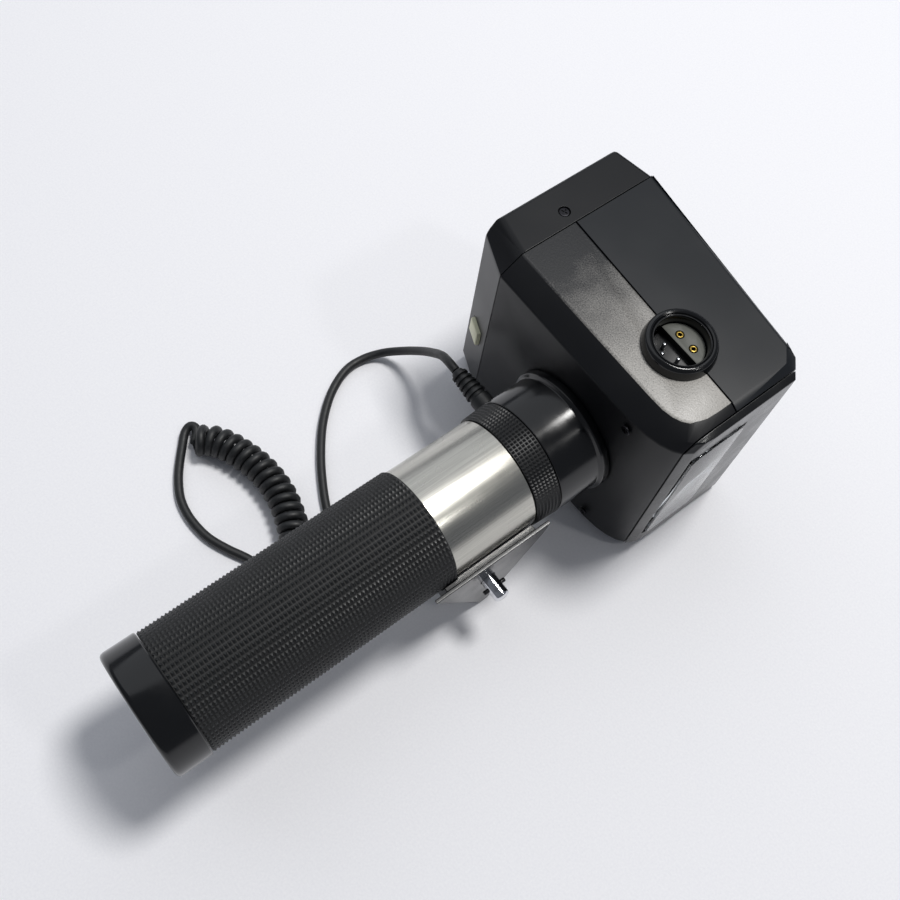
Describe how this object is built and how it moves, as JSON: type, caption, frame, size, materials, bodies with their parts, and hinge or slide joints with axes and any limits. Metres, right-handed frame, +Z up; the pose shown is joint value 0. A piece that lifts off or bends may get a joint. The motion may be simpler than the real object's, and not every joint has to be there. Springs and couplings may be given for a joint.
{
  "type": "handle-mount electronic flash",
  "caption": "Handle-mount camera flash: rubber grip on a steel tube, knurled locking ring, boxy swivelling lamp head, power socket, bracket shoe and coiled sync lead.",
  "frame": {"origin": "under the middle of the object, on the surface it lies on, without the free lead", "axes": "+X is the way the lamp fires, +Y runs along the grip from its butt to the head, +Z is up"},
  "size_m": [0.1484, 0.2636, 0.1051],
  "materials": {
    "rubber": "fine pyramid pattern, matt",
    "gloss_black": "polished black",
    "satin_black": "satin black, lightly grained",
    "slate": "satin dark slate",
    "steel": "satin stainless",
    "chrome": "bright plate",
    "brass": "plain",
    "ivory": "satin ivory",
    "clear": "clear",
    "mirror": "bright reflector",
    "board": "green laminate",
    "cord": "satin black jacket",
    "cell": "printed jacket"
  },
  "bodies": {
    "head": {"neck_collar": "gloss_black", "spigot_bush": "brass", "lower_shell": "satin_black", "upper_shell": "slate", "back_cover": "satin_black", "cover_screw_left": "steel", "cover_screw_right": "steel", "front_frame": "gloss_black", "lamp_window": "clear", "reflector": "mirror", "flash_tube": "clear", "main_capacitor": "cell", "circuit_board": "board", "charging_transformer": "satin_black", "trigger_coil": "brass", "socket_boss": "gloss_black", "socket_insulator": "satin_black", "socket_contact_1": "brass", "socket_contact_2": "brass", "socket_pin_1": "chrome", "socket_pin_2": "chrome", "socket_pin_3": "chrome", "base_screw_1": "steel", "base_screw_2": "steel", "strain_relief": "cord", "lead_cord": "cord", "lead_coil": "cord", "tail_cord": "cord", "camera_plug": "gloss_black"},
    "grip": {"handle_tube": "steel", "grip_sleeve": "rubber", "cell_1": "cell", "cell_2": "cell", "cell_3": "cell", "cell_4": "cell", "cell_contact_plate": "brass", "cell_terminal_board": "board", "bracket_shoe": "satin_black"},
    "ring": {"locking_ring": "satin_black"},
    "cap": {"butt_cap": "gloss_black"},
    "pin": {"release_pin": "chrome", "cross_pin": "gloss_black"},
    "button": {"test_button": "ivory"}
  },
  "joints": [
    {"name": "head_swivel", "type": "hinge", "parent": "head", "child": "grip", "pos_m": [0.01025, 0.0389, 0.05], "axis": [0, 1, 0], "range_deg": [-90, 0]},
    {"name": "lock_ring_turn", "type": "hinge", "parent": "head", "child": "ring", "pos_m": [0.01025, 0.0289, 0.05], "axis": [0, 1, 0], "range_deg": [0, 60]},
    {"name": "cap_turn", "type": "hinge", "parent": "grip", "child": "cap", "pos_m": [0.01025, -0.1261, 0.05], "axis": [0, 1, 0], "range_deg": [-60, 0]},
    {"name": "pin_press", "type": "slide", "parent": "grip", "child": "pin", "axis": [-1, 0, 0], "range_m": [0, 0.0025], "stiffness_N_per_m": 400, "springref_m": -0.0005},
    {"name": "button_press", "type": "slide", "parent": "head", "child": "button", "axis": [0.3785, 0.9256, 0], "range_m": [0, 0.0012], "stiffness_N_per_m": 500, "springref_m": -0.0005}
  ]
}
